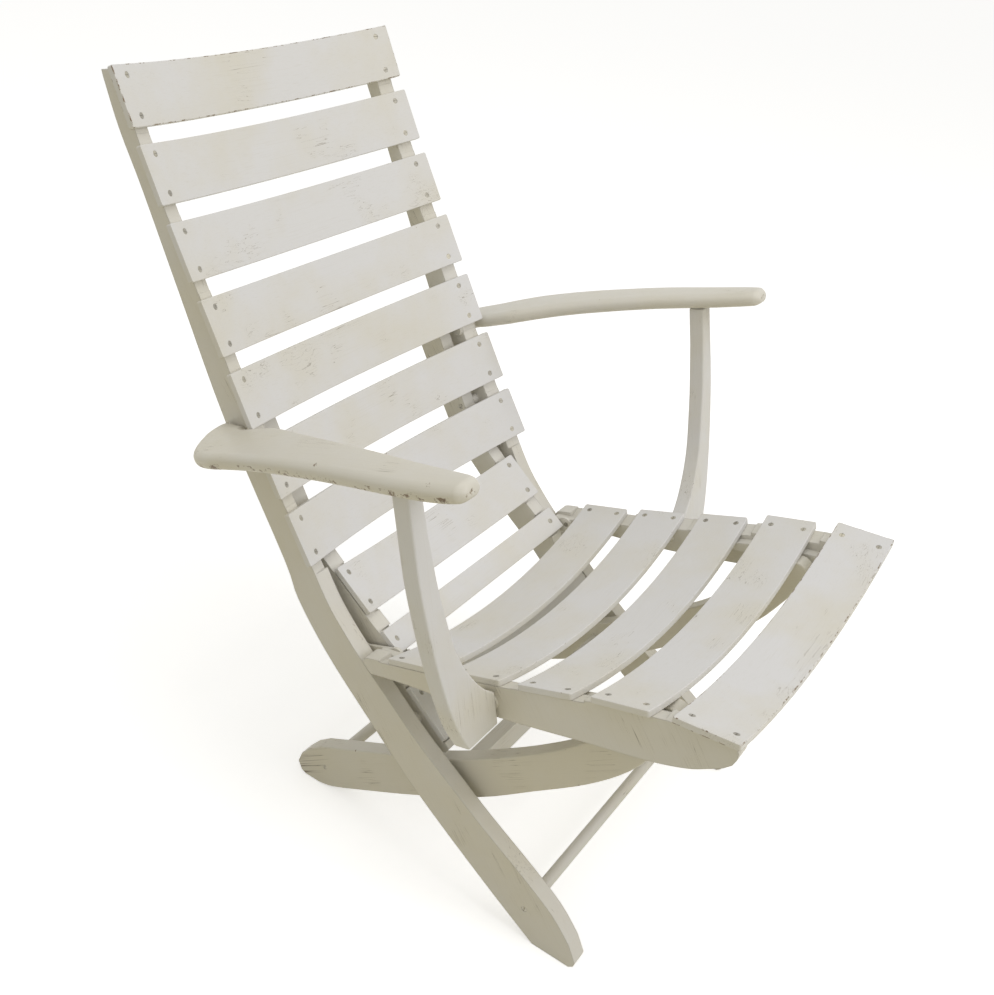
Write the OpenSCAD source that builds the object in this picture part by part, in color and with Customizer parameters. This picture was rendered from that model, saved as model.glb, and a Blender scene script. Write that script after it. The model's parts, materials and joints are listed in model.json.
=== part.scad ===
// Folding reclining garden chair of painted wood, with dished slats and loose armrests.
// Millimetres. X runs across the chair, -Y is where the sitter looks, Z is up.
// The origin is on the ground, under the middle of the chair's box.
// "right" is the sitter's right hand, which is -X, and "left" is +X.
// Side outlines are lists of [Y, Z] in a side view whose zero lies side_shift ahead of the origin.

/* [Overall] */
// stretch of the side view front to back
depth_k = 1.0; // [0.9:0.01:1.1]
// stretch of the side view upwards
height_k = 1.0; // [0.9:0.01:1.1]
// width over the two uprights
back_w = 466; // [420:1:520]
// how far each seat rail stands outside its upright
seat_step = 8; // [6:1:12]

/* [Boards] */
// thickness of each upright, which is back rail and front leg in one
upright_t = 23; // [18:1:28]
// thickness of the lumbar rails and the rear legs
inner_t = 24; // [18:1:28]
// free width between an upright and the boards inside it
lane_gap = 12; // [9:0.5:16]
// thickness of each seat rail
seat_rail_t = 24; // [20:1:28]
// thickness of each armrest post
post_t = 21; // [16:1:26]
// thickness of each armrest
arm_t = 21; // [18:1:26]

/* [Slats] */
// thickness of every slat
slat_t = 8; // [6:0.5:12]
// width of a back or seat slat
slat_w = 69; // [50:1:80]
// radius of the slats' dished top
dish_r = 900; // [700:10:1500]
// length of a back slat
back_slat_l = 486; // [470:1:540]
// length of a lumbar slat
lumbar_slat_l = 399; // [375:1:410]
// length of the frontmost seat slat
seat_slat_l = 500; // [484:1:540]
// rounding of a slat's corners
slat_corner_r = 3; // [2:0.5:10]

/* [Rods and fixings] */
// diameter of the cross dowels
dowel_d = 16; // [12:1:22]
// diameter of the pivot bolts
bolt_d = 8; // [6:0.5:10]
// diameter of a bolt's round head
bolt_head_d = 18; // [14:0.5:24]
// height of a bolt's round head
bolt_head_h = 3.5; // [2:0.5:6]
// diameter of the pins that carry the seat
rest_pin_d = 12; // [8:1:14]
// diameter of the armrest pins
arm_pin_d = 6; // [4:0.5:8]
// diameter of a wood screw's shank
screw_d = 3.6; // [3:0.1:5]
// diameter of a wood screw's head
screw_head_d = 7.5; // [6:0.1:9]
// length of a slat screw
screw_l = 20; // [18:1:24]

/* [Clearances] */
// radial play of a shaft in its bore
shaft_play = 0.05; // [0.02:0.01:0.1]
// play of the pin at the opened pivot under each armrest
loose_play = 0.7; // [0.5:0.1:1]
// gap between boards that turn beside each other
board_gap = 4; // [2:0.5:6]
// gap between an armrest and its upright
arm_gap = 1; // [0.5:0.1:2]
// gap between a rest pin and the cleat above it
rest_gap = 0.3; // [0.2:0.1:0.6]

/* [Hidden] */

$fn = 48;
round_fn = 360;
cut = 1;

// Lanes across the chair, as distances from the middle.
upright_out = back_w / 2;
upright_in = upright_out - upright_t;
inner_out = upright_in - lane_gap;
inner_in = inner_out - inner_t;
seat_out = upright_out + seat_step;
seat_in = seat_out - seat_rail_t;
post_in = seat_out + board_gap;
arm_in = upright_out + arm_gap;

// Side view: zero of its Y in the part's frame, and the two stretches.
side_shift = 643;
function side(p) = [(p[0] - side_shift) * depth_k, p[1] * height_k];
function sides(list) = [for (p = list) side(p)];

// A smooth line through the points of a list.
steps = 4;
function between(a, b, c, d, t) =
  0.5 * (2 * b + (c - a) * t + (2 * a - 5 * b + 4 * c - d) * t * t
  + (3 * b - a - 3 * c + d) * t * t * t);
function smooth(p, n = steps) = let(m = len(p) - 1) concat(
  [for (i = [0:m - 1], k = [0:n - 1])
    between(p[max(i - 1, 0)], p[i], p[i + 1], p[min(i + 2, m)], k / n)],
  [p[m]]);
function arc(c, r, a0, a1, n) = [for (k = [0:n]) let(a = a0 + (a1 - a0) * k / n)
  [c[0] + r * cos(a), c[1] + r * sin(a)]];
function away(p, a, along, out) =
  [p[0] + along * cos(a) - out * sin(a), p[1] + along * sin(a) + out * cos(a)];

// Pivots in the side view.
seat_pivot = side([676, 274]);
leg_pivot = side([528, 147]);
rest_point = side([282, 396]);
post_pivot = side([475, 338]);
arm_pivot = side([862, 519]);
arm_joint = side([560, 639]);

// Slats: [middle of the top face over its screws, slope, width, length, screw pair].
back_screws = upright_in + upright_t / 2;
lumbar_screws = inner_in + inner_t / 2 - 1;
seat_screws_x = seat_in + seat_rail_t / 2;
screw_pair = 45;
narrow_w = 35;
wide_w = 80;
front_w = 75;
back_list = [[[1053, 864], 60.8], [[1009.5, 788], 59.2], [[962.5, 712], 57.8],
  [[913.5, 636], 57.3], [[865.5, 561], 57.2], [[817, 486], 56.1], [[766, 413.5], 54.2]];
back_slats = [for (s = back_list) [side(s[0]), s[1], slat_w, back_slat_l, screw_pair]];
lumbar_slats = [
  [side([709.5, 345.5]), 35, slat_w, lumbar_slat_l, screw_pair],
  [side([645.5, 299.5]), 33, narrow_w, lumbar_slat_l, 0],
  [side([580, 223]), 38, wide_w, lumbar_slat_l, screw_pair + 5]];
seat_slats = [
  [side([585.5, 324]), -18, slat_w, 2 * (post_in - 4), screw_pair],
  [side([500.5, 356]), -20, slat_w, 2 * (post_in - 4), screw_pair],
  [side([412, 389.5]), -20.5, slat_w, 2 * (post_in - 2), screw_pair],
  [side([323, 424]), -16.5, slat_w, seat_slat_l - 6, screw_pair],
  [side([227.5, 448]), -5.8, front_w, seat_slat_l, screw_pair + 4]];

// Screws: the head lies a little under the surface.
head_h = 1.8;
head_sink = 0.3;
slot_w = 1;

module screw(l) {
  difference() {
    union() {
      translate([0, 0, -head_sink - head_h]) cylinder(d = screw_head_d, h = head_h);
      translate([0, 0, -l]) cylinder(d = screw_d, h = l - head_sink - head_h / 2);
    }
    translate([0, 0, -head_sink])
      cube([screw_head_d + cut, slot_w, head_h], center = true);
  }
}

module screw_bore(l) {
  translate([0, 0, -l - cut / 2]) cylinder(d = screw_d + 2 * shaft_play, h = l + cut);
  translate([0, 0, -head_sink - head_h])
    cylinder(d = screw_head_d + 2 * shaft_play, h = head_h + 3);
}

// A board cut from a side outline, from x0 outwards on the left side.
module board(outline, x0, t)
  translate([x0, 0, 0]) rotate([90, 0, 90]) linear_extrude(t) polygon(outline);

// A cylinder along X at a point of the side view.
module rod(p, d, x0, x1)
  translate([x0, p[0], p[1]]) rotate([0, 90, 0]) cylinder(d = d, h = x1 - x0);

// s = -1 is the right side, 1 the left.
module to_side(s) mirror([s < 0 ? 1 : 0, 0, 0]) children();

// Slats and what is cut for them.
function dish_up(x) = dish_r - sqrt(dish_r * dish_r - x * x);

// The slat's own frame: x across, y out of the top face, z down its slope.
module on_slat(s)
  translate([0, s[0][0], s[0][1]]) rotate([90 + s[1], 0, 0]) children();

// Each corner's arc meets the straight edges at a slight angle.
corner_in = 0.96;

module slat_plan(l, w, r) {
  inset = corner_in * r;
  intersection() {
    square([l, w], center = true);
    union() {
      square([l - 2 * inset, w], center = true);
      square([l, w - 2 * inset], center = true);
      for (i = [-1, 1], j = [-1, 1])
        translate([i * (l / 2 - inset), j * (w / 2 - inset)]) circle(r);
    }
  }
}

// Screw places on a slat: the children lie with +Z out of the dished top.
module slat_screws(s, x) {
  tilt = asin(x / dish_r);
  for (i = [-1, 1], j = s[4] > 0 ? [-1, 1] : [0])
    on_slat(s) translate([0, dish_r - dish_up(x), j * s[4] / 2])
      rotate([0, 0, i * tilt]) translate([0, -dish_r, 0]) rotate([-90, 0, 0]) children();
}

module slat(s, x) {
  centre_y = dish_r - dish_up(x);
  difference() {
    on_slat(s) intersection() {
      linear_extrude(s[2], center = true) difference() {
        intersection() {
          translate([0, centre_y]) circle(dish_r + slat_t, $fn = round_fn);
          translate([-s[3] / 2, -dish_up(x) - slat_t - cut])
            square([s[3], dish_up(s[3] / 2) + slat_t + 2 * cut]);
        }
        translate([0, centre_y]) circle(dish_r, $fn = round_fn);
      }
      rotate([90, 0, 0]) linear_extrude(s[3], center = true)
        slat_plan(s[3], s[2], min(slat_corner_r, s[2] / 4));
    }
    slat_screws(s, x) screw_bore(screw_l);
  }
}

// What a rail loses to a slat: the slat's bed, over a length of the rail, and the bores.
module slat_bed(s, x, x0, x1, l) {
  on_slat(s) intersection() {
    translate([0, dish_r - dish_up(x), 0])
      cylinder(r = dish_r + slat_t, h = l, center = true, $fn = round_fn);
    translate([x0 - cut, -slat_t - 20, -l / 2]) cube([x1 - x0 + 2 * cut, 60, l]);
  }
  slat_screws(s, x) screw_bore(screw_l);
}

// Back frame.
edge_out = 4;
bed_l = 96;
upright_front = concat(
  [away(back_slats[0][0], back_slats[0][1], slat_w / 2 - 4, -edge_out)],
  [for (s = back_slats) away(s[0], s[1], 0, -edge_out)],
  sides([[723, 344], [690, 309], [656, 279], [617, 248], [568, 209], [520, 177], [462, 139],
    [393, 98], [345, 66], [315, 35]]));
upright_rear = sides([[362, 0], [448, 55], [555, 129], [640, 199], [715, 265], [766, 323],
  [792, 370], [893, 518], [969, 654], [1030, 765], [1065, 824], [1086, 869], [1092, 884]]);
upright_foot = sides([[302, 12], [303, 5], [309, 0]]);
front_rod = side([382, 48]);
side_screw_points = sides([[817, 424], [802, 399], [594, 209]]);
side_screw_l = upright_t + lane_gap + inner_t - 4;
bolt_bore = bolt_d + 2 * shaft_play;
blind_end = upright_out - 5;
end_gap = 0.5;

module upright() {
  difference() {
    board(concat(smooth(upright_front), upright_foot, smooth(upright_rear)),
      upright_in, upright_t);
    for (s = back_slats)
      slat_bed(s, back_screws, upright_in, upright_out, bed_l);
    rod(arm_pivot, bolt_bore, upright_in - cut, upright_out + cut);
    for (p = [seat_pivot, leg_pivot])
      rod(p, bolt_bore, upright_in - cut, blind_end + end_gap);
    side_screws() screw_bore(side_screw_l);
    front_dowel_screw() screw_bore(dowel_screw_l);
  }
}

lumbar_front = sides([[889, 548], [852, 490], [809, 425], [775, 382], [741, 357], [685, 318],
  [665, 305], [633, 284], [622, 262], [613, 246], [548, 195]]);
lumbar_rear = sides([[570, 178], [610, 206], [662, 250], [713, 286], [768, 330], [816, 372],
  [858, 430], [893, 485], [925, 535]]);

module lumbar_rail() {
  difference() {
    board(concat(lumbar_front, sides([[541, 188], [545, 180], [556, 176]]),
      smooth(lumbar_rear), sides([[917, 547], [903, 553]])), inner_in, inner_t);
    for (s = lumbar_slats)
      slat_bed(s, lumbar_screws, inner_in, inner_out, s[2] + 4);
    side_screws() screw_bore(side_screw_l);
  }
}

// Screws through the lumbar rail into the upright, and through the upright into the dowel.
dowel_screw_l = upright_t + 20;

module side_screws()
  for (p = side_screw_points)
    translate([inner_in, p[0], p[1]]) rotate([0, -90, 0]) children();

module front_dowel_screw()
  translate([upright_out, front_rod[0], front_rod[1]]) rotate([0, 90, 0]) children();

module front_dowel()
  difference() {
    rod(front_rod, dowel_d, -upright_in, upright_in);
    for (s = [-1, 1]) to_side(s) front_dowel_screw() screw_bore(dowel_screw_l);
  }

// Rings in the lane between the upright and the boards inside it. Next to a board that turns
// they stop short of it.
face_gap = 0.3;
spacer_d = 22;
lumbar_spacer_d = 16;

module ring(p, d, bore, x0, x1)
  difference() {
    rod(p, d, x0, x1);
    rod(p, bore, x0 - cut, x1 + cut);
  }

module frame_spacers()
  for (s = [-1, 1]) to_side(s) {
    for (p = side_screw_points)
      ring(p, lumbar_spacer_d, screw_d + 2 * shaft_play, inner_out, upright_in);
    ring(leg_pivot, spacer_d, bolt_bore, inner_out + face_gap, upright_in);
    ring(seat_pivot, spacer_d - 4, bolt_bore, hinge_out + face_gap, upright_in);
  }

// A bolt along X with a low round head at its inner end and a blind outer end.
module bolt(p, head_x, end_x) {
  rod(p, bolt_d, head_x - bolt_head_h / 2, end_x);
  translate([head_x, p[0], p[1]]) rotate([0, -90, 0])
    cylinder(d1 = bolt_head_d, d2 = bolt_head_d - 5, h = bolt_head_h);
}

// The armrest turns on the outer end of its bolt. The rear leg and the hinge plate turn on
// plain pins.
arm_bolt_end = arm_in + 32;

module frame_bolts()
  for (s = [-1, 1]) to_side(s) {
    bolt(arm_pivot, upright_in, arm_bolt_end);
    rod(leg_pivot, bolt_d, inner_in + end_gap, blind_end);
    rod(seat_pivot, bolt_d, hinge_in - 2, blind_end);
  }

module frame_screws() {
  for (s = back_slats) slat_screws(s, back_screws) screw(screw_l);
  for (s = lumbar_slats) slat_screws(s, lumbar_screws) screw(screw_l);
}

module frame_side_screws()
  for (s = [-1, 1]) to_side(s) {
    side_screws() screw(side_screw_l);
    front_dowel_screw() screw(dowel_screw_l);
  }

// Seat frame.
hinge_t = 4;
hinge_in = inner_out + 4;
hinge_out = hinge_in + hinge_t;
seat_top = concat(sides([[652, 298], [640, 303]]),
  [for (s = seat_slats) away(s[0], s[1], 0, -edge_out)],
  [away(seat_slats[4][0], seat_slats[4][1], -front_w / 2 + 8, -edge_out)]);
seat_front = sides([[192, 438], [192, 430], [195, 421]]);
seat_bottom = sides([[203, 412], [217, 402], [239, 388], [283, 371], [358, 350], [409, 335],
  [460, 321], [520, 307], [586, 294], [641, 280]]);
hinge_screw_points = sides([[627, 293.5], [640, 288.5]]);
hinge_screw_l = seat_out - hinge_in - 5;

module seat_rail() {
  difference() {
    board(concat(smooth(seat_top), seat_front, smooth(seat_bottom), sides([[655, 291]])),
      seat_in, seat_rail_t);
    for (s = seat_slats)
      slat_bed(s, seat_screws_x, seat_in, seat_out, bed_l + 2);
    rod(post_pivot, bolt_bore, seat_in - cut, seat_out + cut);
    hinge_screws() screw_bore(hinge_screw_l);
  }
}

module hinge_screws()
  for (p = hinge_screw_points)
    translate([hinge_in, p[0], p[1]]) rotate([0, -90, 0]) children();

// A wooden block carries the steel plate in the lane beside the upright.
module hinge_block()
  difference() {
    board(sides([[619, 287], [619, 303], [649, 296], [653, 291], [641, 282]]), hinge_out,
      seat_in - hinge_out);
    hinge_screws() screw_bore(hinge_screw_l);
  }

plate_r = 11;
strap_w = 19;

module hinge_plate()
  difference() {
    translate([hinge_in, 0, 0]) rotate([90, 0, 90]) linear_extrude(hinge_t)
      strap(side([630, 292]), seat_pivot);
    rod(seat_pivot, bolt_bore, hinge_in - cut, hinge_out + cut);
    hinge_screws() screw_bore(hinge_screw_l);
  }

// A flat strap between two round eyes.
module strap(a, b) {
  d = b - a;
  translate(a) circle(plate_r);
  translate(b) circle(plate_r);
  translate(a) rotate(atan2(d[1], d[0])) translate([0, -strap_w / 2])
    square([norm(d), strap_w]);
}

// The cleat lies on the rest pins: its underside follows their path along the seat rail.
rest_slope = -14.3;
cleat_t = 15;
cleat_low = rest_pin_d / 2 + rest_gap;
cleat_outline = concat(
  [away(rest_point, rest_slope, -74, cleat_low + 3), away(rest_point, rest_slope, -70, cleat_low),
    away(rest_point, rest_slope, 15, cleat_low)],
  sides([[358, 378], [409, 363], [440, 354], [446, 359], [409, 372], [358, 392]]),
  [away(rest_point, rest_slope, 10, cleat_low + 11), away(rest_point, rest_slope, -60, cleat_low + 9)]);

module cleat()
  board(cleat_outline, seat_in - cleat_t, cleat_t);

module seat_bolts()
  for (s = [-1, 1]) to_side(s) {
    bolt(post_pivot, seat_in, post_bolt_end);
    ring(post_pivot, spacer_d, bolt_bore, seat_out, post_in - face_gap);
  }

module seat_screws()
  for (s = seat_slats) slat_screws(s, seat_screws_x) screw(screw_l);

module seat_side_screws()
  for (s = [-1, 1]) to_side(s) hinge_screws() screw(hinge_screw_l);

// Rear legs.
nose_r = 17;
leg_top = sides([[330, 353], [381, 297], [412, 267], [466, 223], [552, 163], [640, 117],
  [701, 85], [739, 65]]);
leg_heel = sides([[757, 50], [770, 33], [775, 16], [768, 3], [760, 0]]);
leg_bottom = sides([[736, 0], [712, 7], [662, 34], [578, 82], [488, 140], [419, 197],
  [354, 253], [310, 303], [283, 352]]);
rear_rod = side([728, 34]);
leg_rail_point = side([524, 141]);
leg_rail_t = 19;
leg_rail_h = 32;
leg_screw_l = inner_t + 18;

module rear_leg() {
  difference() {
    board(concat(arc(rest_point, nose_r, 200, 35, 10), smooth(leg_top), leg_heel,
      smooth(leg_bottom)), inner_in, inner_t);
    rod(leg_pivot, bolt_bore, inner_in - cut, inner_out + cut);
    rod(rest_point, rest_pin_d, inner_in + 4, inner_out + cut);
    leg_end_screws() screw_bore(leg_screw_l);
  }
}

module leg_end_screws()
  for (p = [rear_rod, leg_screw_point])
    translate([inner_out, p[0], p[1]]) rotate([0, 90, 0]) children();

leg_screw_point = side([521, 130]);

module leg_rail()
  difference() {
    translate([0, leg_rail_point[0], leg_rail_point[1]]) rotate([-9, 0, 0])
      cube([2 * inner_in, leg_rail_t, leg_rail_h], center = true);
    for (s = [-1, 1]) to_side(s) leg_end_screws() screw_bore(leg_screw_l);
  }

module leg_dowel()
  difference() {
    rod(rear_rod, dowel_d, -inner_in, inner_in);
    for (s = [-1, 1]) to_side(s) leg_end_screws() screw_bore(leg_screw_l);
  }

module leg_screws()
  for (s = [-1, 1]) to_side(s) leg_end_screws() screw(leg_screw_l);

module rest_pins()
  for (s = [-1, 1]) to_side(s) rod(rest_point, rest_pin_d, inner_in + 4, seat_in - 2.5);

// Armrest posts: flat boards that lean along the line between their two pivots.
lean = atan2(arm_joint[0] - post_pivot[0], arm_joint[1] - post_pivot[1]);
post_l = norm(arm_joint - post_pivot);
post_top = post_l - 12;
post_bolt_end = post_in + 30;
tenon_t = 14;
tenon_w = 16;
tenon_x = 331;

// The post's own frame: x across, y up along the post, z ahead of its middle plane.
module on_post() translate([0, post_pivot[0], post_pivot[1]]) rotate([90 - lean, 0, 0]) children();

post_outer = [[302, -26], [318, 8], [330, 50], [341, 108], [348, 165], [351, 207], [351, 250]];
post_inner = [[327, 250], [321, 186], [314, 144], [305, 103], [291, 70], [272, 41], [257, 25]];

module post() {
  difference() {
    on_post() {
      translate([0, 0, -post_t / 2]) linear_extrude(post_t)
        polygon(concat([[post_in, -26]], smooth(post_outer), [[351, post_top], [328, post_top]],
          smooth(post_inner), [[post_in, 16]]));
      translate([tenon_x, post_top - cut, -tenon_t / 2])
        cube([tenon_w, post_l + 5.5 - post_top + cut, tenon_t]);
    }
    rod(post_pivot, bolt_bore, post_in - cut, post_bolt_end + end_gap);
    rod(arm_joint, arm_pin_d + 2 * loose_play, tenon_x - cut, tenon_x + tenon_w + cut);
  }
}

// Armrests: a side outline and a plan outline cut from one board.
arm_low = sides([[478, 656.5], [520, 642], [560, 629], [610, 613], [660, 595.5], [710, 577],
  [750, 561], [790, 543.5], [825, 526.5], [850, 515], [870, 509.5], [890, 507]]);
function arm_slope(i) = let(a = arm_low[max(i - 1, 0)],
  b = arm_low[min(i + 1, len(arm_low) - 1)]) atan2(b[1] - a[1], b[0] - a[0]);
arm_high = [for (i = [len(arm_low) - 1:-1:0]) away(arm_low[i], arm_slope(i), 0, arm_t)];
arm_plan_out = [[240, 886], [258, 885], [280, 880], [300, 872], [318, 861], [331, 846], [339, 828],
  [344, 805], [350, 745], [360, 660], [366, 610], [371, 560], [374, 520], [373, 495], [368, 480],
  [358, 471], [346, 470]];
arm_plan_in = [[336, 476], [330, 490], [323, 520], [315, 560], [304, 610], [291.5, 660], [278, 710],
  [265, 750], [251, 785], [245, 803], [244.5, 822], [244.5, 856]];
arm_shift = arm_in - 234;
function plan(list) = [for (p = list) [p[0] + arm_shift, (p[1] - side_shift) * depth_k]];
pin_in = 317;
pin_l = 41;
mortise_play = 2.4;
arm_steps = 6;

module arm() {
  difference() {
    intersection() {
      board(concat(smooth(arm_low, arm_steps), smooth(arm_high, arm_steps)), arm_in, 200);
      linear_extrude(2000)
        polygon(concat(plan([[234, 859], [234, 885]]), smooth(plan(arm_plan_out), arm_steps),
          smooth(plan(arm_plan_in), arm_steps)));
    }
    rod(arm_pivot, bolt_bore, arm_in - cut, arm_bolt_end + end_gap);
    rod(arm_joint, arm_pin_d, pin_in - 20, pin_in + pin_l);
    on_post() translate([tenon_x - 0.5, post_top - 20, -tenon_t / 2 - mortise_play])
      cube([tenon_w + 1, post_l + 7.5 - post_top + 20, tenon_t + 2 * mortise_play]);
  }
}

module arm_pin() rod(arm_joint, arm_pin_d, pin_in, pin_in + pin_l);

// Colours: the paint's shades on wood, and grey steel.
paint = [0.84, 0.82, 0.78];
steel = [0.55, 0.55, 0.53];

module in_paint() color(paint) children();
module in_steel() color(steel) children();

in_paint() to_side(-1) upright();  // upright_right
in_paint() to_side(1) upright();  // upright_left
in_paint() to_side(-1) lumbar_rail();  // lumbar_rail_right
in_paint() to_side(1) lumbar_rail();  // lumbar_rail_left
for (i = [0:6])
  in_paint() slat(back_slats[i], back_screws);
for (i = [0:2])
  in_paint() slat(lumbar_slats[i], lumbar_screws);
in_paint() front_dowel();
in_paint() frame_spacers();
in_steel() frame_bolts();
in_steel() frame_screws();
in_steel() frame_side_screws();
in_paint() to_side(-1) seat_rail();  // seat_rail_right
in_paint() to_side(1) seat_rail();  // seat_rail_left
for (i = [0:4])
  in_paint() slat(seat_slats[i], seat_screws_x);
in_paint() to_side(-1) cleat();  // cleat_right
in_paint() to_side(1) cleat();  // cleat_left
in_paint() to_side(-1) hinge_block();  // hinge_block_right
in_paint() to_side(1) hinge_block();  // hinge_block_left
in_steel() to_side(-1) hinge_plate();  // hinge_plate_right
in_steel() to_side(1) hinge_plate();  // hinge_plate_left
in_steel() seat_bolts();
in_steel() seat_screws();
in_steel() seat_side_screws();
in_paint() to_side(-1) rear_leg();  // rear_leg_right
in_paint() to_side(1) rear_leg();  // rear_leg_left
in_paint() leg_rail();
in_paint() leg_dowel();
in_steel() leg_screws();
in_steel() rest_pins();
in_paint() to_side(-1) post();  // post_right
in_paint() to_side(1) post();  // post_left
in_paint() to_side(-1) arm();  // arm_right
in_paint() to_side(1) arm();  // arm_left
in_steel() to_side(-1) arm_pin();  // arm_pin_right
in_steel() to_side(1) arm_pin();  // arm_pin_left
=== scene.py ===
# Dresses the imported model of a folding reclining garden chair: boards with eased edges under
# brushed paint, shaped armrests, zinc-plated fixings, and a plain studio round them.

import json
import math

import bmesh
import bpy
from bpy.props import FloatProperty, FloatVectorProperty, PointerProperty
from mathutils import Matrix, Vector

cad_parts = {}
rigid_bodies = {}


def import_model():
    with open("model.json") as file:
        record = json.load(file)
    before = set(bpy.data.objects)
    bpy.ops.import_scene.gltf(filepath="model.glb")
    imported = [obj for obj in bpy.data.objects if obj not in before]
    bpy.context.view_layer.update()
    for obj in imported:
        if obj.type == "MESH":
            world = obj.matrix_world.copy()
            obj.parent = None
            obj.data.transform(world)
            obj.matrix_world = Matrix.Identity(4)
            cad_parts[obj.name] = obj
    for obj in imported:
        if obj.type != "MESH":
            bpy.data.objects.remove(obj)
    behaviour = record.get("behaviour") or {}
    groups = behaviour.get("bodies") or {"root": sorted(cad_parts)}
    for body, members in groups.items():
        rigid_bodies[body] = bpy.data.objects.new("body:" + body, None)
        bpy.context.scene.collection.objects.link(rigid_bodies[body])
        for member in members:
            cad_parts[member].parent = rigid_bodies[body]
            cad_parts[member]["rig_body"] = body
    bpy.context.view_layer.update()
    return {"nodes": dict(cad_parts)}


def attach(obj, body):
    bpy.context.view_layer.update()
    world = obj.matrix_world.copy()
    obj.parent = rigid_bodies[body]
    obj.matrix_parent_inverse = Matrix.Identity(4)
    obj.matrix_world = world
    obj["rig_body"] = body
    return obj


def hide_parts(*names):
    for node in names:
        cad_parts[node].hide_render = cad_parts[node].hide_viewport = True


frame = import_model()

bl_info = {
    "name": "Painted garden recliner",
    "version": (1, 0, 0),
    "blender": (4, 5, 0),
    "location": "View3D > Sidebar > Chair",
    "description": "Builds the finished look of a folding garden recliner on its CAD frame",
    "category": "Object",
}

MM = 0.001
ACROSS = "across"
ALONG = "along"

# Where the frame's Y = 0 lies in the side view, as in the part's source, in mm.
SIDE_SHIFT = 643

RAILS = ("upright_right", "upright_left", "lumbar_rail_right", "lumbar_rail_left",
         "seat_rail_right", "seat_rail_left", "cleat_right", "cleat_left",
         "hinge_block_right", "hinge_block_left")
LEGS = ("rear_leg_right", "rear_leg_left")
POSTS = ("post_right", "post_left")
BACK_SLATS = tuple(f"back_slat_{i}" for i in range(1, 8))
LUMBAR_SLATS = tuple(f"lumbar_slat_{i}" for i in range(1, 4))
SEAT_SLATS = tuple(f"seat_slat_{i}" for i in range(1, 6))
# The top and the front slat, whose edges hands and legs have worn most.
END_SLATS = ("back_slat_1", "seat_slat_5")
CROSS_BARS = ("front_dowel", "leg_dowel", "leg_rail")
# Fittings that were painted along with the boards.
PAINTED_OVER = ("frame_spacers", "hinge_plate_right", "hinge_plate_left", "frame_bolts",
                "seat_bolts", "rest_pins")
SCREWS = ("frame_screws", "frame_side_screws", "seat_screws", "seat_side_screws", "leg_screws")
ARM_PINS = ("arm_pin_right", "arm_pin_left")


def linear(hex_colour):
    """A colour written as sRGB hex, as the linear RGBA that Blender works in."""
    channels = [int(hex_colour[i:i + 2], 16) / 255 for i in (1, 3, 5)]
    curve = [c / 12.92 if c <= 0.04045 else ((c + 0.055) / 1.055) ** 2.4 for c in channels]
    return (*curve, 1.0)


def per_mm(size):
    """The texture scale that gives a pattern of this size in millimetres."""
    return 1000.0 / size


# Sizes and colours that a user would change


class BoardSizes(bpy.types.PropertyGroup):
    slat_ease: FloatProperty(
        name="Slat edges", description="Width of the eased edge on the slats",
        default=1.2 * MM, min=0.3 * MM, max=3 * MM, unit="LENGTH")
    rail_ease: FloatProperty(
        name="Rail edges", description="Radius of the eased edge on rails, legs and posts",
        default=2.5 * MM, min=0.3 * MM, max=5 * MM, unit="LENGTH")
    arm_round: FloatProperty(
        name="Armrest rounding", description="Radius of the armrests' long edges",
        default=9.5 * MM, min=2 * MM, max=10 * MM, unit="LENGTH")
    arm_thick: FloatProperty(
        name="Armrest thickness", description="Thickness of an armrest",
        default=21.0 * MM, min=18 * MM, max=26 * MM, unit="LENGTH")


class PaintColours(bpy.types.PropertyGroup):
    paint: FloatVectorProperty(
        name="Paint", description="The off-white paint where it is clean",
        default=linear("#D8D7D6"), size=4, subtype="COLOR", min=0, max=1)
    aged: FloatVectorProperty(
        name="Aged paint", description="The paint where age has turned it",
        default=linear("#D2CCB8"), size=4, subtype="COLOR", min=0, max=1)
    grime: FloatVectorProperty(
        name="Grime", description="Dirt in the hairline scratches",
        default=linear("#8A8273"), size=4, subtype="COLOR", min=0, max=1)
    wood: FloatVectorProperty(
        name="Bare wood", description="The wood where the paint has chipped off",
        default=linear("#6A5845"), size=4, subtype="COLOR", min=0, max=1)
    zinc: FloatVectorProperty(
        name="Zinc", description="The plated steel of screws and bolts",
        default=linear("#A3A099"), size=4, subtype="COLOR", min=0, max=1)


def sizes():
    return bpy.context.scene.chair_sizes


def colours():
    return bpy.context.scene.chair_colours


# Materials


def add(tree, kind, links=None, stops=(), **settings):
    """Adds a node with its properties, and sets or links its sockets by name or number.

    stops are the two ends of a colour ramp, [(place, colour)].
    """
    node = tree.nodes.new(kind)
    for key, value in settings.items():
        setattr(node, key, value)
    for number, (place, colour) in enumerate(stops):
        node.color_ramp.elements[number].position = place
        node.color_ramp.elements[number].color = colour
    for key, value in (links or {}).items():
        if isinstance(value, bpy.types.NodeSocket):
            tree.links.new(value, node.inputs[key])
        else:
            node.inputs[key].default_value = value
    return node


def new_material(name):
    material = bpy.data.materials.new(name)
    material.use_nodes = True
    material.node_tree.nodes.clear()
    return material, material.node_tree


WHITE = (1, 1, 1, 1)
BLACK = (0, 0, 0, 1)

# Pattern sizes in millimetres
BRUSH_GAP = 1.5
BRUSH_LENGTH = 120
AGED_PATCH = 140
SPECK = 9
SCRATCHED_PATCH = 70
CRACK_FADE = 35
CHIP = 12
ZINC_MOTTLE = 3
ZINC_FILM = 60

# The brushed space is scaled to the bristle marks, so that these two only zoom within it.
BRUSH_ZOOM = 100.0
SCRATCH_ZOOM = 22.0
# What a fully worn edge adds to the noise that decides where the paint is gone.
WORN_LIFT = 0.3


def grey(level):
    return (level, level, level, 1)


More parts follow.
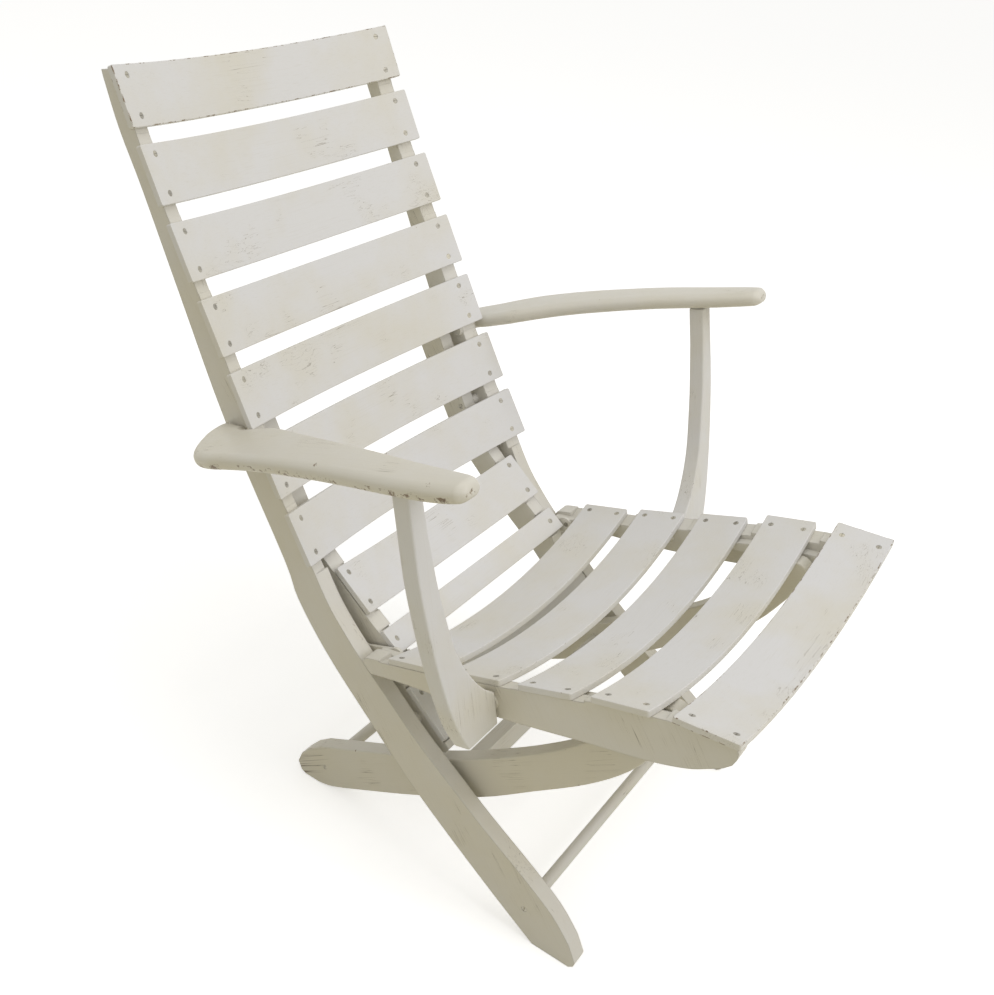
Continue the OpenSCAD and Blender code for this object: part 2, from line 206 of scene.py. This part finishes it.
def painted_wood(name, grain, tilt=0.0, wear=0.5, age=0.0, cracked=None, eased=0.0):
    """Alkyd paint, brushed on by hand and years old, over a brown hardwood.

    It gives the eye a soft satin off-white that wanders between warm and cool, with faint
    brush lines along the board, hairline scratches, and chips to brown wood on worn edges.
    tilt turns the brush lines to a board that leans. wear spreads the chips, and age yellows
    the paint. cracked is the Y from which the board's end grain has opened into brown cracks.
    eased is the radius of edges that are rounded by shading alone, on boards with beds and
    notches that a cut edge would tear.
    """
    material, tree = new_material(name)
    c = colours()
    place = add(tree, "ShaderNodeTexCoord").outputs["Object"]
    # Bristle marks are finer than the picture shows, so they are drawn as coarse as it needs.
    turned = add(tree, "ShaderNodeMapping", {"Vector": place, "Rotation": (tilt, 0, 0)})
    fine = per_mm(BRUSH_GAP) / BRUSH_ZOOM
    long = per_mm(BRUSH_LENGTH) / BRUSH_ZOOM
    brushed = add(tree, "ShaderNodeMapping", {
        "Vector": turned.outputs["Vector"],
        "Scale": (long, fine, fine) if grain == ACROSS else (fine, long, fine)})
    strokes = add(tree, "ShaderNodeTexNoise", {
        "Vector": brushed.outputs["Vector"], "Scale": BRUSH_ZOOM, "Detail": 3.0,
        "Roughness": 0.6})
    patches = add(tree, "ShaderNodeTexNoise", {
        "Vector": place, "Scale": per_mm(AGED_PATCH), "Detail": 4.0, "Roughness": 0.55})
    specks = add(tree, "ShaderNodeTexNoise", {
        "Vector": place, "Scale": per_mm(SPECK), "Detail": 5.0, "Roughness": 0.7})
    aged = add(tree, "ShaderNodeValToRGB", {0: patches.outputs["Fac"]},
               stops=[(0.42, grey(age)), (0.75, grey(0.7 + 0.3 * age))])
    base = add(tree, "ShaderNodeMix", {
        "Factor": aged.outputs["Color"], 6: c.paint, 7: c.aged}, data_type="RGBA")
    marks = add(tree, "ShaderNodeValToRGB", {0: strokes.outputs["Fac"]},
                stops=[(0.55, BLACK), (0.85, grey(0.22))])
    base = add(tree, "ShaderNodeMix", {
        "Factor": marks.outputs["Color"], 6: base.outputs[2], 7: linear("#B8B09C")},
        data_type="RGBA")
    # Hairline scratches: the thin middle line of a slow noise, kept only in scratched patches.
    lines = add(tree, "ShaderNodeTexNoise", {
        "Vector": brushed.outputs["Vector"], "Scale": SCRATCH_ZOOM, "Detail": 2.0,
        "Distortion": 1.4})
    off_line = add(tree, "ShaderNodeMath", {0: lines.outputs["Fac"], 1: 0.5},
                   operation="SUBTRACT")
    off_line = add(tree, "ShaderNodeMath", {0: off_line.outputs[0]}, operation="ABSOLUTE")
    on_line = add(tree, "ShaderNodeValToRGB", {0: off_line.outputs[0]},
                  stops=[(0.0, WHITE), (0.006, BLACK)])
    where = add(tree, "ShaderNodeTexNoise", {
        "Vector": place, "Scale": per_mm(SCRATCHED_PATCH), "Detail": 2.0})
    where = add(tree, "ShaderNodeValToRGB", {0: where.outputs["Fac"]},
                stops=[(0.58, BLACK), (0.63, WHITE)])
    scratch = add(tree, "ShaderNodeMath", {
        0: on_line.outputs["Color"], 1: where.outputs["Color"]}, operation="MULTIPLY")
    base = add(tree, "ShaderNodeMix", {
        "Factor": scratch.outputs[0], 6: base.outputs[2], 7: c.grime}, data_type="RGBA")
    if cracked is not None:
        # Cracks are the same lines drawn wider, and fade out along the board.
        split = add(tree, "ShaderNodeValToRGB", {0: off_line.outputs[0]},
                    stops=[(0.0, WHITE), (0.022, BLACK)])
        depth = add(tree, "ShaderNodeSeparateXYZ", {0: place})
        near = add(tree, "ShaderNodeMapRange", {
            0: depth.outputs["Y"], 1: cracked, 2: cracked + CRACK_FADE * MM})
        split = add(tree, "ShaderNodeMath", {
            0: split.outputs["Color"], 1: near.outputs[0]}, operation="MULTIPLY")
        base = add(tree, "ShaderNodeMix", {
            "Factor": split.outputs[0], 6: base.outputs[2], 7: c.wood}, data_type="RGBA")
    # Chips: the eased edges carry the worn attribute, and noise decides where paint is gone.
    edge = add(tree, "ShaderNodeAttribute", attribute_name="worn").outputs["Fac"]
    chip_noise = add(tree, "ShaderNodeTexNoise", {
        "Vector": place, "Scale": per_mm(CHIP), "Detail": 8.0, "Roughness": 0.74})
    worn = add(tree, "ShaderNodeMath", {0: edge, 1: wear * WORN_LIFT}, operation="MULTIPLY")
    chip = add(tree, "ShaderNodeMath", {0: chip_noise.outputs["Fac"], 1: worn.outputs[0]},
               operation="ADD")
    gone = add(tree, "ShaderNodeValToRGB", {0: chip.outputs[0]},
               stops=[(0.73, BLACK), (0.742, WHITE)]).outputs["Color"]
    rim = add(tree, "ShaderNodeValToRGB", {0: chip.outputs[0]},
              stops=[(0.71, BLACK), (0.735, WHITE)])
    wood = add(tree, "ShaderNodeValToRGB", {0: specks.outputs["Fac"]},
               stops=[(0.35, c.wood), (0.65, linear("#8C7A62"))])
    base = add(tree, "ShaderNodeMix", {
        "Factor": rim.outputs["Color"], 6: base.outputs[2], 7: linear("#9C917D")},
        data_type="RGBA")
    base = add(tree, "ShaderNodeMix", {
        "Factor": gone, 6: base.outputs[2], 7: wood.outputs["Color"]}, data_type="RGBA")
    rough = add(tree, "ShaderNodeValToRGB", {0: specks.outputs["Fac"]},
                stops=[(0.3, grey(0.38)), (0.7, grey(0.52))])
    # The film of paint stands over the chips, and its brush marks stand over its face.
    height = add(tree, "ShaderNodeMath", {0: strokes.outputs["Fac"], 1: 0.4},
                 operation="MULTIPLY")
    height = add(tree, "ShaderNodeMath", {0: specks.outputs["Fac"], 1: height.outputs[0]},
                 operation="ADD")
    height = add(tree, "ShaderNodeMath", {0: height.outputs[0], 1: gone}, operation="SUBTRACT")
    bump = add(tree, "ShaderNodeBump", {
        "Height": height.outputs[0], "Distance": 0.25 * MM, "Strength": 0.35})
    if eased:
        soft = add(tree, "ShaderNodeBevel", {"Radius": eased}, samples=6)
        tree.links.new(soft.outputs["Normal"], bump.inputs["Normal"])
    shader = add(tree, "ShaderNodeBsdfPrincipled", {
        "Base Color": base.outputs[2], "Roughness": rough.outputs["Color"],
        "Normal": bump.outputs["Normal"], "IOR": 1.48})
    add(tree, "ShaderNodeOutputMaterial", {"Surface": shader.outputs[0]})
    return material


def zinc_steel(name):
    """Zinc-plated steel, dulled by weather and thinly painted over.

    It gives the eye a mottled grey metal with no mirror in it, filmed with off-white paint.
    """
    material, tree = new_material(name)
    c = colours()
    place = add(tree, "ShaderNodeTexCoord").outputs["Object"]
    mottle = add(tree, "ShaderNodeTexNoise", {
        "Vector": place, "Scale": per_mm(ZINC_MOTTLE), "Detail": 4.0, "Roughness": 0.7})
    film = add(tree, "ShaderNodeTexNoise", {
        "Vector": place, "Scale": per_mm(ZINC_FILM), "Detail": 2.0})
    dull = add(tree, "ShaderNodeValToRGB", {0: mottle.outputs["Fac"]},
               stops=[(0.4, BLACK), (0.7, WHITE)])
    metal = add(tree, "ShaderNodeMix", {
        "Factor": dull.outputs["Color"], 6: c.zinc, 7: linear("#5F5B52")}, data_type="RGBA")
    painted = add(tree, "ShaderNodeValToRGB", {0: film.outputs["Fac"]},
                  stops=[(0.45, grey(0.2)), (0.7, grey(0.7))])
    metal = add(tree, "ShaderNodeMix", {
        "Factor": painted.outputs["Color"], 6: metal.outputs[2], 7: c.aged}, data_type="RGBA")
    rough = add(tree, "ShaderNodeValToRGB", {0: mottle.outputs["Fac"]},
                stops=[(0.3, grey(0.4)), (0.8, grey(0.65))])
    bump = add(tree, "ShaderNodeBump", {
        "Height": mottle.outputs["Fac"], "Distance": 0.05 * MM, "Strength": 0.3})
    shader = add(tree, "ShaderNodeBsdfPrincipled", {
        "Base Color": metal.outputs[2], "Metallic": 0.6, "Roughness": rough.outputs["Color"],
        "Normal": bump.outputs["Normal"]})
    add(tree, "ShaderNodeOutputMaterial", {"Surface": shader.outputs[0]})
    return material


def dress(thing, material):
    """Gives a piece, or a CAD node that stays, its one material."""
    thing.data.materials.clear()
    thing.data.materials.append(material)


# Boards with eased edges

# Edges sharper than this are eased, unless their run is as short as the rim of a bore.
SHARP = math.radians(32)
BORE_SPAN = 27 * MM
# Faces that turn by less than this are one flat face, and by more than SMOOTH meet in an arris.
FLAT = math.radians(0.6)
SMOOTH = math.radians(40)
WELD = 0.001 * MM
EASE_STEPS = 3
EASE_ROUNDNESS = 0.6


def edge_runs(edges):
    """Connected runs of the given edges."""
    left = set(edges)
    while left:
        run = [left.pop()]
        for edge in run:
            for vert in edge.verts:
                for near in vert.link_edges:
                    if near in left:
                        left.remove(near)
                        run.append(near)
        yield run


def span(run):
    """The diagonal of the box round a run of edges."""
    points = [vert.co for edge in run for vert in edge.verts]
    low = Vector(tuple(min(p[i] for p in points) for i in range(3)))
    high = Vector(tuple(max(p[i] for p in points) for i in range(3)))
    return (high - low).length


def finish_mesh(bm, name, material, node):
    """Makes the object of a piece that stands for a CAD node."""
    mesh = bpy.data.meshes.new(name)
    bm.to_mesh(mesh)
    bm.free()
    mesh.polygons.foreach_set("use_smooth", [True] * len(mesh.polygons))
    mesh.set_sharp_from_angle(angle=SMOOTH)
    piece = bpy.data.objects.new(name, mesh)
    bpy.context.scene.collection.objects.link(piece)
    piece.modifiers.new("Even shading", "WEIGHTED_NORMAL").keep_sharp = True
    dress(piece, material)
    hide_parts(node)
    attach(piece, frame["nodes"][node]["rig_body"])
    return piece


def eased_board(node, ease, material):
    """A copy of a board's own mesh with its long edges eased and marked as worn."""
    bm = bmesh.new()
    bm.from_mesh(frame["nodes"][node].data)
    bmesh.ops.remove_doubles(bm, verts=bm.verts, dist=WELD)
    bmesh.ops.dissolve_limit(bm, angle_limit=FLAT, verts=bm.verts, edges=bm.edges)
    layer = bm.faces.layers.float.new("worn")
    sharp = [e for e in bm.edges if len(e.link_faces) == 2 and e.calc_face_angle(0) > SHARP]
    chosen = [e for run in edge_runs(sharp) if span(run) > BORE_SPAN for e in run]
    made = bmesh.ops.bevel(bm, geom=chosen, offset=ease, segments=EASE_STEPS,
                           profile=EASE_ROUNDNESS, affect="EDGES", clamp_overlap=False)
    for face in made["faces"]:
        face[layer] = 1.0
    return finish_mesh(bm, node + "_board", material, node)


# Armrests: a rounded section swept along the side curve, its width read from the plan

# All in mm, as in the part's source. The underside is (depth, height) in the side view, and the
# two edges are (depth, distance from the chair's middle) in the plan.
ARM_LOW = ((472, 658.5), (520, 642), (560, 629), (610, 613), (660, 595.5), (710, 577), (750, 561),
           (790, 543.5), (825, 526.5), (850, 515), (870, 509.5), (886, 507))
ARM_OUTER = ((470, 346), (471, 358), (480, 368), (495, 373), (520, 374), (560, 371), (610, 366),
             (660, 360), (745, 350), (805, 344), (828, 339), (846, 331), (861, 318), (872, 300),
             (880, 280), (885, 258), (886, 240))
ARM_INNER = ((470, 345), (476, 336), (490, 330), (520, 323), (560, 315), (610, 304), (660, 291.5),
             (710, 278), (750, 265), (785, 251), (803, 245), (822, 244.5), (856, 244.5),
             (859, 234), (890, 234))
CURVE_STEPS = 60
# How far the top falls from its middle to its edges.
CROWN = 3.0
CORNER_STEPS = 6
# The ends are drawn in over this length, by these shares of it, down to these half sizes.
END_ROUND = 10
DRAWN_IN_ACROSS = 0.6
DRAWN_IN_UP = 0.75
LEAST_HALF_WIDTH = 4
LEAST_HALF_THICKNESS = 3
# How far apart the sections stand, over the ends and between them.
END_STEP = 1
STEP = 6
# How worn the rounded edges are, where 1 is most.
OUTER_LOWER_WEAR = 1.0
OTHER_WEAR = 0.3

# The armrest's bolt and the post's two pivots in the side view, in mm.
ARM_PIVOT = (862, 519)
POST_FOOT = (475, 338)
POST_HEAD = (560, 639)
# The mortise as (across, along, up), with room for the tenon to turn, and the bolt's bore.
MORTISE = (17.6, 22.6, 27)
MORTISE_FROM_MIDDLE = 339
MORTISE_BELOW_PIVOT = 6
BORE_FROM_MIDDLE = 248
BORE_RADIUS = 4.05
BORE_DEPTH = 37
BORE_SIDES = 48


def smooth_line(points):
    """Points along a smooth curve through a list of points."""
    last = len(points) - 1
    line = []
    for k in range(CURVE_STEPS + 1):
        t = k / CURVE_STEPS * last
        i = min(int(t), last - 1)
        t -= i
        a, b, c, d = (points[max(i - 1, 0)], points[i], points[i + 1], points[min(i + 2, last)])
        line.append(tuple(
            0.5 * (2 * b[j] + (c[j] - a[j]) * t + (2 * a[j] - 5 * b[j] + 4 * c[j] - d[j]) * t * t
                   + (3 * b[j] - a[j] - 3 * c[j] + d[j]) * t ** 3) for j in (0, 1)))
    return line


def stations(line):
    """Places along a line, close together over its drawn-in ends.

    Each is (point, way, how far it is from the nearer end).
    """
    lengths = [0.0]
    for p, q in zip(line, line[1:]):
        lengths.append(lengths[-1] + math.dist(p, q))
    total = lengths[-1]
    middle = int((total - 2 * END_ROUND) / STEP)
    ends = [k * END_STEP for k in range(END_ROUND // END_STEP)]
    places = ends + [END_ROUND + (total - 2 * END_ROUND) * k / middle for k in range(middle + 1)]
    places += [total - e for e in reversed(ends)]
    found = []
    for place in places:
        i = min(max(sum(length < place for length in lengths) - 1, 0), len(line) - 2)
        share = (place - lengths[i]) / (lengths[i + 1] - lengths[i])
        p, q = Vector(line[i]), Vector(line[i + 1])
        found.append((p.lerp(q, share), min(place, total - place)))
    return [(point, (found[min(k + 1, len(found) - 1)][0] - found[max(k - 1, 0)][0]).normalized(),
             from_end) for k, (point, from_end) in enumerate(found)]


def read_line(line, y):
    """The second value of a line at the first value y, straight between its points."""
    for (y0, v0), (y1, v1) in zip(line, line[1:]):
        if y <= y1:
            share = 0 if y1 == y0 else max((y - y0) / (y1 - y0), 0)
            return v0 + (v1 - v0) * share
    return line[-1][1]


def rounded_section(half_w, half_t, radius):
    """A rounded rectangle with a crowned top, round the origin: [(across, up, wear)]."""
    radius = min(radius, half_w, half_t)
    points = []
    for quarter, (sx, st) in enumerate(((1, 1), (-1, 1), (-1, -1), (1, -1))):
        wear = OUTER_LOWER_WEAR if (sx, st) == (1, -1) else OTHER_WEAR
        for k in range(CORNER_STEPS + 1):
            a = math.radians(90 * quarter + 90 * k / CORNER_STEPS)
            points.append((sx * (half_w - radius) + radius * math.cos(a),
                           st * (half_t - radius) + radius * math.sin(a),
                           wear if k < CORNER_STEPS else 0.0))
        if quarter == 0:
            points += [((half_w - radius) * (1 - 2 * k / CORNER_STEPS), half_t, 0.0)
                       for k in range(1, CORNER_STEPS)]
    return [(x, t - CROWN * (x / half_w) ** 2 * max(t / half_t, 0), wear)
            for x, t, wear in points]


def armrest_mesh(side):
    """An armrest. side is -1 for the sitter's right and 1 for the left."""
    thick = sizes().arm_thick / MM
    radius = sizes().arm_round / MM
    outer = smooth_line(ARM_OUTER)
    bm = bmesh.new()
    layer = bm.faces.layers.float.new("worn")
    rings = []
    for point, along, from_end in stations(smooth_line(ARM_LOW)):
        up = Vector((-along.y, along.x))
        centre = point + up * thick / 2
        x_out = read_line(outer, centre.x)
        x_in = read_line(ARM_INNER, centre.x)
        into_end = max(END_ROUND - from_end, 0)
        drawn_in = END_ROUND - math.sqrt(max(END_ROUND ** 2 - into_end ** 2, 0))
        half_w = max((x_out - x_in) / 2 - drawn_in * DRAWN_IN_ACROSS, LEAST_HALF_WIDTH)
        half_t = max(thick / 2 - drawn_in * DRAWN_IN_UP, LEAST_HALF_THICKNESS)
        section = rounded_section(half_w, half_t, radius)
        ring = []
        for across, height, _ in section:
            x = (x_in + x_out) / 2 + across
            point = centre + up * height
            ring.append(bm.verts.new((side * x * MM, (point.x - SIDE_SHIFT) * MM, point.y * MM)))
        rings.append(ring)
    count = len(section)
    for a, b in zip(rings, rings[1:]):
        for k in range(count):
            face = bm.faces.new((a[k], a[(k + 1) % count], b[(k + 1) % count], b[k]))
            face[layer] = section[k][2]
    for ring in (rings[0], rings[-1]):
        bm.faces.new(ring)[layer] = 1.0
    bmesh.ops.remove_doubles(bm, verts=bm.verts, dist=WELD)
    bmesh.ops.recalc_face_normals(bm, faces=bm.faces)
    return bm


def at_side(x, side_point, drop=0):
    """The move to a point of the side view, x mm from the chair's middle."""
    depth, height = side_point
    return Matrix.Translation((x * MM, (depth - SIDE_SHIFT) * MM, (height - drop) * MM))


def arm_cutters(side):
    """The mortise for the post's tenon and the blind bore for the pivot bolt."""
    rise = Vector(POST_HEAD) - Vector(POST_FOOT)
    lean = Matrix.Rotation(-math.atan2(rise.x, rise.y), 4, "X")
    bm = bmesh.new()
    bmesh.ops.create_cube(bm, size=1)
    shape = Matrix.Diagonal([edge * MM for edge in MORTISE] + [1])
    bm.transform(at_side(side * MORTISE_FROM_MIDDLE, POST_HEAD, MORTISE_BELOW_PIVOT) @ lean @ shape)
    bore = at_side(side * BORE_FROM_MIDDLE, ARM_PIVOT) @ Matrix.Rotation(math.pi / 2, 4, "Y")
    bmesh.ops.create_cone(bm, cap_ends=True, segments=BORE_SIDES, radius1=BORE_RADIUS * MM,
                          radius2=BORE_RADIUS * MM, depth=BORE_DEPTH * MM, matrix=bore)
    return bm


def cut_away(piece, bm):
    """Cuts the shapes in a bmesh out of a piece."""
    mesh = bpy.data.meshes.new("cutter")
    bm.to_mesh(mesh)
    bm.free()
    cutter = bpy.data.objects.new("cutter", mesh)
    bpy.context.scene.collection.objects.link(cutter)
    step = piece.modifiers.new("Cut", "BOOLEAN")
    step.object = cutter
    step.solver = "EXACT"
    graph = bpy.context.evaluated_depsgraph_get()
    cut = bpy.data.meshes.new_from_object(piece.evaluated_get(graph))
    piece.modifiers.clear()
    piece.data = cut
    bpy.data.objects.remove(cutter)


# Operators: one for each piece or group of like pieces


class CHAIR_OT_slats(bpy.types.Operator):
    """Eases and paints the dished slats of the back, the lumbar rest and the seat"""
    bl_idname = "chair.slats"
    bl_label = "Slats"

    def execute(self, context):
        paint = painted_wood("brushed_paint_on_slats", ACROSS, wear=0.2)
        worn_paint = painted_wood("worn_paint_on_end_slats", ACROSS, wear=0.62)
        for node in BACK_SLATS + LUMBAR_SLATS + SEAT_SLATS:
            chosen = worn_paint if node in END_SLATS else paint
            eased_board(node, sizes().slat_ease, chosen)
        return {"FINISHED"}


class CHAIR_OT_rails(bpy.types.Operator):
    """Paints the uprights, rails, cleats and hinge blocks"""
    bl_idname = "chair.rails"
    bl_label = "Rails"

    def execute(self, context):
        paint = painted_wood("brushed_paint_on_rails", ALONG, tilt=math.radians(-50), age=0.4,
                             eased=sizes().rail_ease)
        for node in RAILS:
            dress(frame["nodes"][node], paint)
        return {"FINISHED"}


class CHAIR_OT_legs(bpy.types.Operator):
    """Eases and paints the rear legs, and paints the cross bars and the fittings"""
    bl_idname = "chair.legs"
    bl_label = "Legs and cross bars"

    def execute(self, context):
        paint = painted_wood("brushed_paint_on_legs", ALONG, tilt=math.radians(35), wear=0.3,
                             age=0.6, cracked=85 * MM)
        for node in LEGS:
            eased_board(node, sizes().rail_ease, paint)
        bar_paint = painted_wood("brushed_paint_on_bars", ACROSS, age=0.4, eased=0.5 * MM)
        for node in CROSS_BARS + PAINTED_OVER:
            dress(frame["nodes"][node], bar_paint)
        return {"FINISHED"}


class CHAIR_OT_posts(bpy.types.Operator):
    """Eases and paints the bent posts that carry the armrests"""
    bl_idname = "chair.posts"
    bl_label = "Armrest posts"

    def execute(self, context):
        paint = painted_wood("brushed_paint_on_posts", ALONG, tilt=math.radians(-74), wear=0.15)
        for node in POSTS:
            eased_board(node, sizes().rail_ease, paint)
        return {"FINISHED"}


class CHAIR_OT_armrests(bpy.types.Operator):
    """Sweeps the two rounded armrests and cuts the mortises for their posts"""
    bl_idname = "chair.armrests"
    bl_label = "Armrests"

    def execute(self, context):
        paint = painted_wood("worn_paint_on_armrests", ALONG, tilt=math.radians(20),
                             wear=0.56, age=0.5)
        for side, node in ((-1, "arm_right"), (1, "arm_left")):
            piece = finish_mesh(armrest_mesh(side), node + "_rest", paint, node)
            cut_away(piece, arm_cutters(side))
        return {"FINISHED"}


class CHAIR_OT_fixings(bpy.types.Operator):
    """Gives the screws and the armrests' pins their plated steel"""
    bl_idname = "chair.fixings"
    bl_label = "Fixings"

    def execute(self, context):
        steel = zinc_steel("zinc_plated_steel")
        for node in SCREWS + ARM_PINS:
            dress(frame["nodes"][node], steel)
        return {"FINISHED"}


# Stage: places are in metres, the lens and its sensor in mm

CAMERA_AT = (-1.1847, -0.643, 1.2558)
CAMERA_LOOKS = (0.7492, 0.4043, -0.5246)
CAMERA_RIGHT = (0.5443, -0.8272, 0.1399)
LENS = 44.2
SENSOR = 36
MIDDLE = (0, 0, 0.4)
# Each softbox as (name, place, width, power, colour).
SOFTBOXES = (("key_softbox", (0.3, -2.7, 2.3), 2.4, 31.0, "#FBFAFF"),
             ("top_softbox", (0.1, -0.3, 3.2), 2.6, 22.0, "#FFFEFA"),
             ("fill_softbox", (-2.6, 0.6, 1.4), 2.0, 3.0, "#FFF6E6"))
# The room's light on the chair, and what lifts the floor to white where it is seen.
ROOM_STRENGTH = 0.6
FLOOR_LIFT = 0.5
FLOOR_HALF = 40.0
FLOOR_DROP = 0.5 * MM


def camera():
    """The camera at the photograph's angle, as found from the chair's mirror symmetry."""
    looks = Vector(CAMERA_LOOKS).normalized()
    right = Vector(CAMERA_RIGHT)
    right = (right - looks * right.dot(looks)).normalized()
    up = right.cross(looks)
    data = bpy.data.cameras.new("photo_camera")
    data.lens = LENS
    data.sensor_width = SENSOR
    view = bpy.data.objects.new("photo_camera", data)
    turn = Matrix((right, up, -looks)).transposed().to_4x4()
    view.matrix_world = Matrix.Translation(CAMERA_AT) @ turn
    bpy.context.scene.collection.objects.link(view)
    bpy.context.scene.camera = view


def softbox(name, at, size, power, colour):
    """A round soft light that points at the middle of the chair."""
    data = bpy.data.lights.new(name, "AREA")
    data.shape = "DISK"
    data.size = size
    data.energy = power
    data.color = linear(colour)[:3]
    lamp = bpy.data.objects.new(name, data)
    lamp.location = at
    lamp.rotation_mode = "QUATERNION"
    lamp.rotation_quaternion = (Vector(MIDDLE) - Vector(at)).to_track_quat("-Z", "Y")
    bpy.context.scene.collection.objects.link(lamp)


def seen_only(tree):
    """1 for what the camera, a reflection or a see-through surface sees, 0 for light."""
    path = add(tree, "ShaderNodeLightPath")
    total = add(tree, "ShaderNodeMath", {0: path.outputs["Is Camera Ray"],
                                         1: path.outputs["Is Glossy Ray"]}, operation="MAXIMUM")
    return add(tree, "ShaderNodeMath", {0: total.outputs[0],
                                        1: path.outputs["Is Transmission Ray"]},
               operation="MAXIMUM").outputs[0]


def pale_world():
    """Plain white to look at, which lights the chair less than it looks."""
    world = bpy.data.worlds.new("pale_room")
    bpy.context.scene.world = world
    world.use_nodes = True
    tree = world.node_tree
    tree.nodes.clear()
    soft = add(tree, "ShaderNodeBackground", {
        "Color": linear("#F4F3EF"), "Strength": ROOM_STRENGTH})
    white = add(tree, "ShaderNodeBackground", {"Color": WHITE, "Strength": 1.0})
    both = add(tree, "ShaderNodeMixShader", {0: seen_only(tree), 1: soft.outputs[0],
                                             2: white.outputs[0]})
    add(tree, "ShaderNodeOutputWorld", {"Surface": both.outputs[0]})


def pale_floor():
    """Matt white backdrop paper.

    It gives the eye a white ground that keeps the chair's soft shadow, and throws a warm light
    back at the undersides.
    """
    bm = bmesh.new()
    bmesh.ops.create_grid(bm, x_segments=2, y_segments=2, size=FLOOR_HALF)
    mesh = bpy.data.meshes.new("floor")
    bm.to_mesh(mesh)
    bm.free()
    floor = bpy.data.objects.new("floor", mesh)
    floor.location.z = -FLOOR_DROP
    bpy.context.scene.collection.objects.link(floor)
    material, tree = new_material("matt_white_paper")
    matt = add(tree, "ShaderNodeBsdfDiffuse", {"Color": linear("#EDEDED")})
    lift = add(tree, "ShaderNodeEmission", {"Color": WHITE, "Strength": FLOOR_LIFT})
    shown = add(tree, "ShaderNodeAddShader", {0: matt.outputs[0], 1: lift.outputs[0]})
    bounce = add(tree, "ShaderNodeBsdfDiffuse", {"Color": linear("#D2CBAA")})
    total = add(tree, "ShaderNodeMixShader", {0: seen_only(tree), 1: bounce.outputs[0],
                                              2: shown.outputs[0]})
    add(tree, "ShaderNodeOutputMaterial", {"Surface": total.outputs[0]})
    dress(floor, material)


class CHAIR_OT_stage(bpy.types.Operator):
    """Sets the pale floor, the soft lights and the camera of the photograph"""
    bl_idname = "chair.stage"
    bl_label = "Stage"

    def execute(self, context):
        camera()
        pale_world()
        pale_floor()
        for name, at, size, power, colour in SOFTBOXES:
            softbox(name, at, size, power, colour)
        context.scene.view_settings.view_transform = "Standard"
        return {"FINISHED"}


STEPS = (CHAIR_OT_slats, CHAIR_OT_rails, CHAIR_OT_legs, CHAIR_OT_posts, CHAIR_OT_armrests,
         CHAIR_OT_fixings, CHAIR_OT_stage)


class CHAIR_PT_panel(bpy.types.Panel):
    """Lists the chair's pieces and sizes in the 3D view's sidebar"""
    bl_label = "Garden recliner"
    bl_space_type = "VIEW_3D"
    bl_region_type = "UI"
    bl_category = "Chair"

    def draw(self, context):
        column = self.layout.column()
        for group in (context.scene.chair_sizes, context.scene.chair_colours):
            for name in type(group).__annotations__:
                column.prop(group, name)
        for step in STEPS:
            column.operator(step.bl_idname)


CLASSES = (BoardSizes, PaintColours) + STEPS + (CHAIR_PT_panel,)


def register():
    for cls in CLASSES:
        bpy.utils.register_class(cls)
    bpy.types.Scene.chair_sizes = PointerProperty(type=BoardSizes)
    bpy.types.Scene.chair_colours = PointerProperty(type=PaintColours)


def unregister():
    del bpy.types.Scene.chair_colours
    del bpy.types.Scene.chair_sizes
    for cls in reversed(CLASSES):
        bpy.utils.unregister_class(cls)


def main():
    register()
    bpy.ops.chair.slats()
    bpy.ops.chair.rails()
    bpy.ops.chair.legs()
    bpy.ops.chair.posts()
    bpy.ops.chair.armrests()
    bpy.ops.chair.fixings()
    bpy.ops.chair.stage()


if __name__ == "__main__":
    main()
